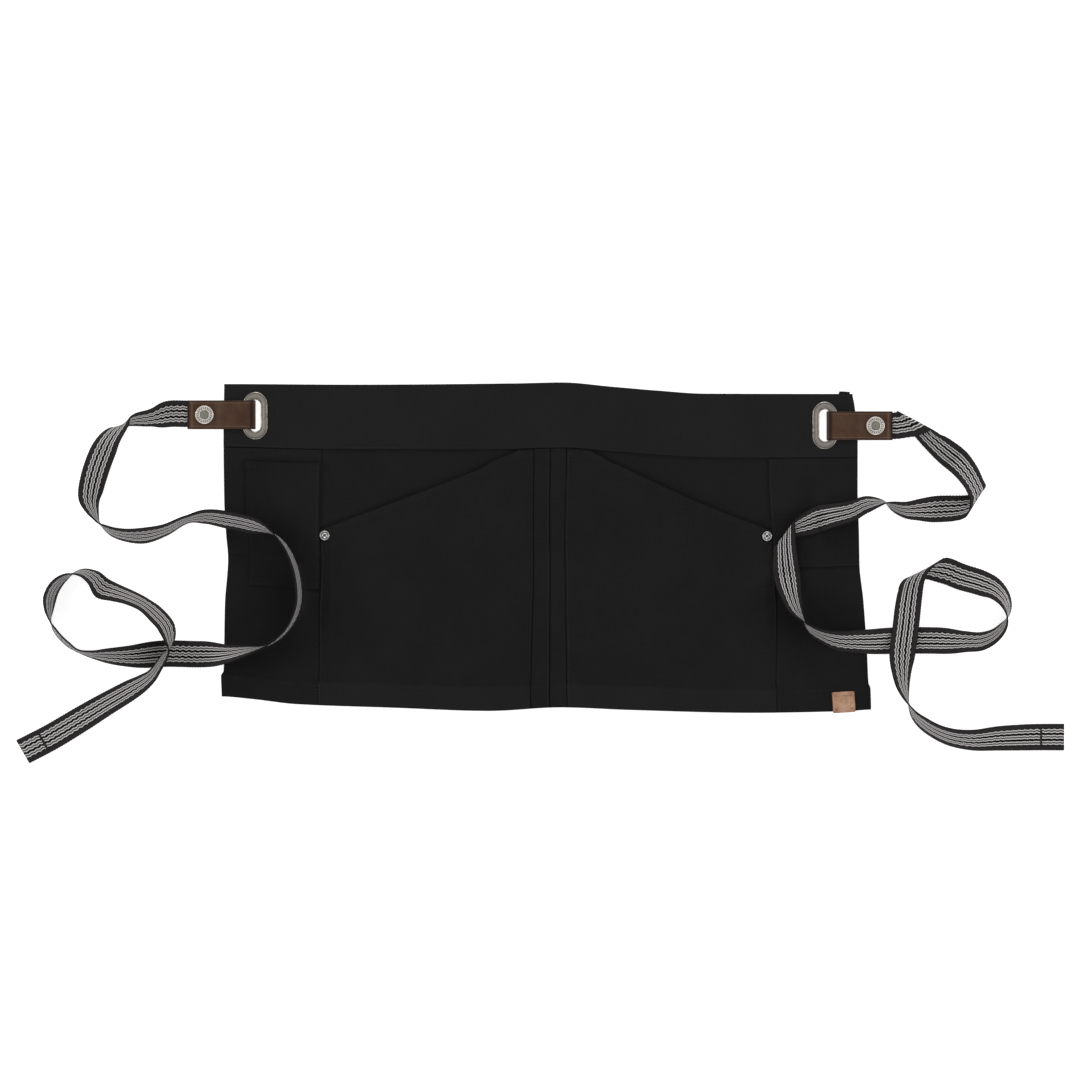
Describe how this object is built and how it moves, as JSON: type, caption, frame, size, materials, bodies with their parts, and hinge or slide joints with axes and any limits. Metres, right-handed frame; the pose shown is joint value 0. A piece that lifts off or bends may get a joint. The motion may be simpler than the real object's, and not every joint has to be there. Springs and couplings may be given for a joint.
{
  "type": "waist apron",
  "caption": "Black canvas waist apron lying face up, with slanted front pockets, oval metal eyelets, leather tabs and striped webbing ties.",
  "frame": {"origin": "middle of the panel's underside, where the apron lies on the table", "axes": "+X to the right along the waistband, +Y towards the waist, +Z out of the apron's front"},
  "size_m": [0.9984, 0.3627, 0.0299],
  "materials": {
    "canvas": "matt black cotton canvas",
    "dark_nickel": "antique nickel",
    "bright_nickel": "satin nickel",
    "brown_leather": "smooth dark brown",
    "tan_leather": "smooth tan",
    "webbing": "black webbing with light grey stripes"
  },
  "bodies": {
    "root": {"apron_panel": "canvas", "waistband": "canvas", "waistband_end_left": "canvas", "waistband_end_right": "canvas", "side_facing_left": "canvas", "side_facing_right": "canvas", "pencil_pocket": "canvas", "big_pocket_left": "canvas", "big_pocket_right": "canvas", "tuck_left": "canvas", "tuck_right": "canvas", "eyelet_left": "dark_nickel", "eyelet_right": "dark_nickel", "tab_left": "brown_leather", "tab_right": "brown_leather", "snap_left": "bright_nickel", "snap_right": "bright_nickel", "pocket_rivet_left": "bright_nickel", "pocket_rivet_right": "bright_nickel", "label": "tan_leather", "tie_left": "webbing", "tie_right": "webbing"}
  },
  "joints": []
}
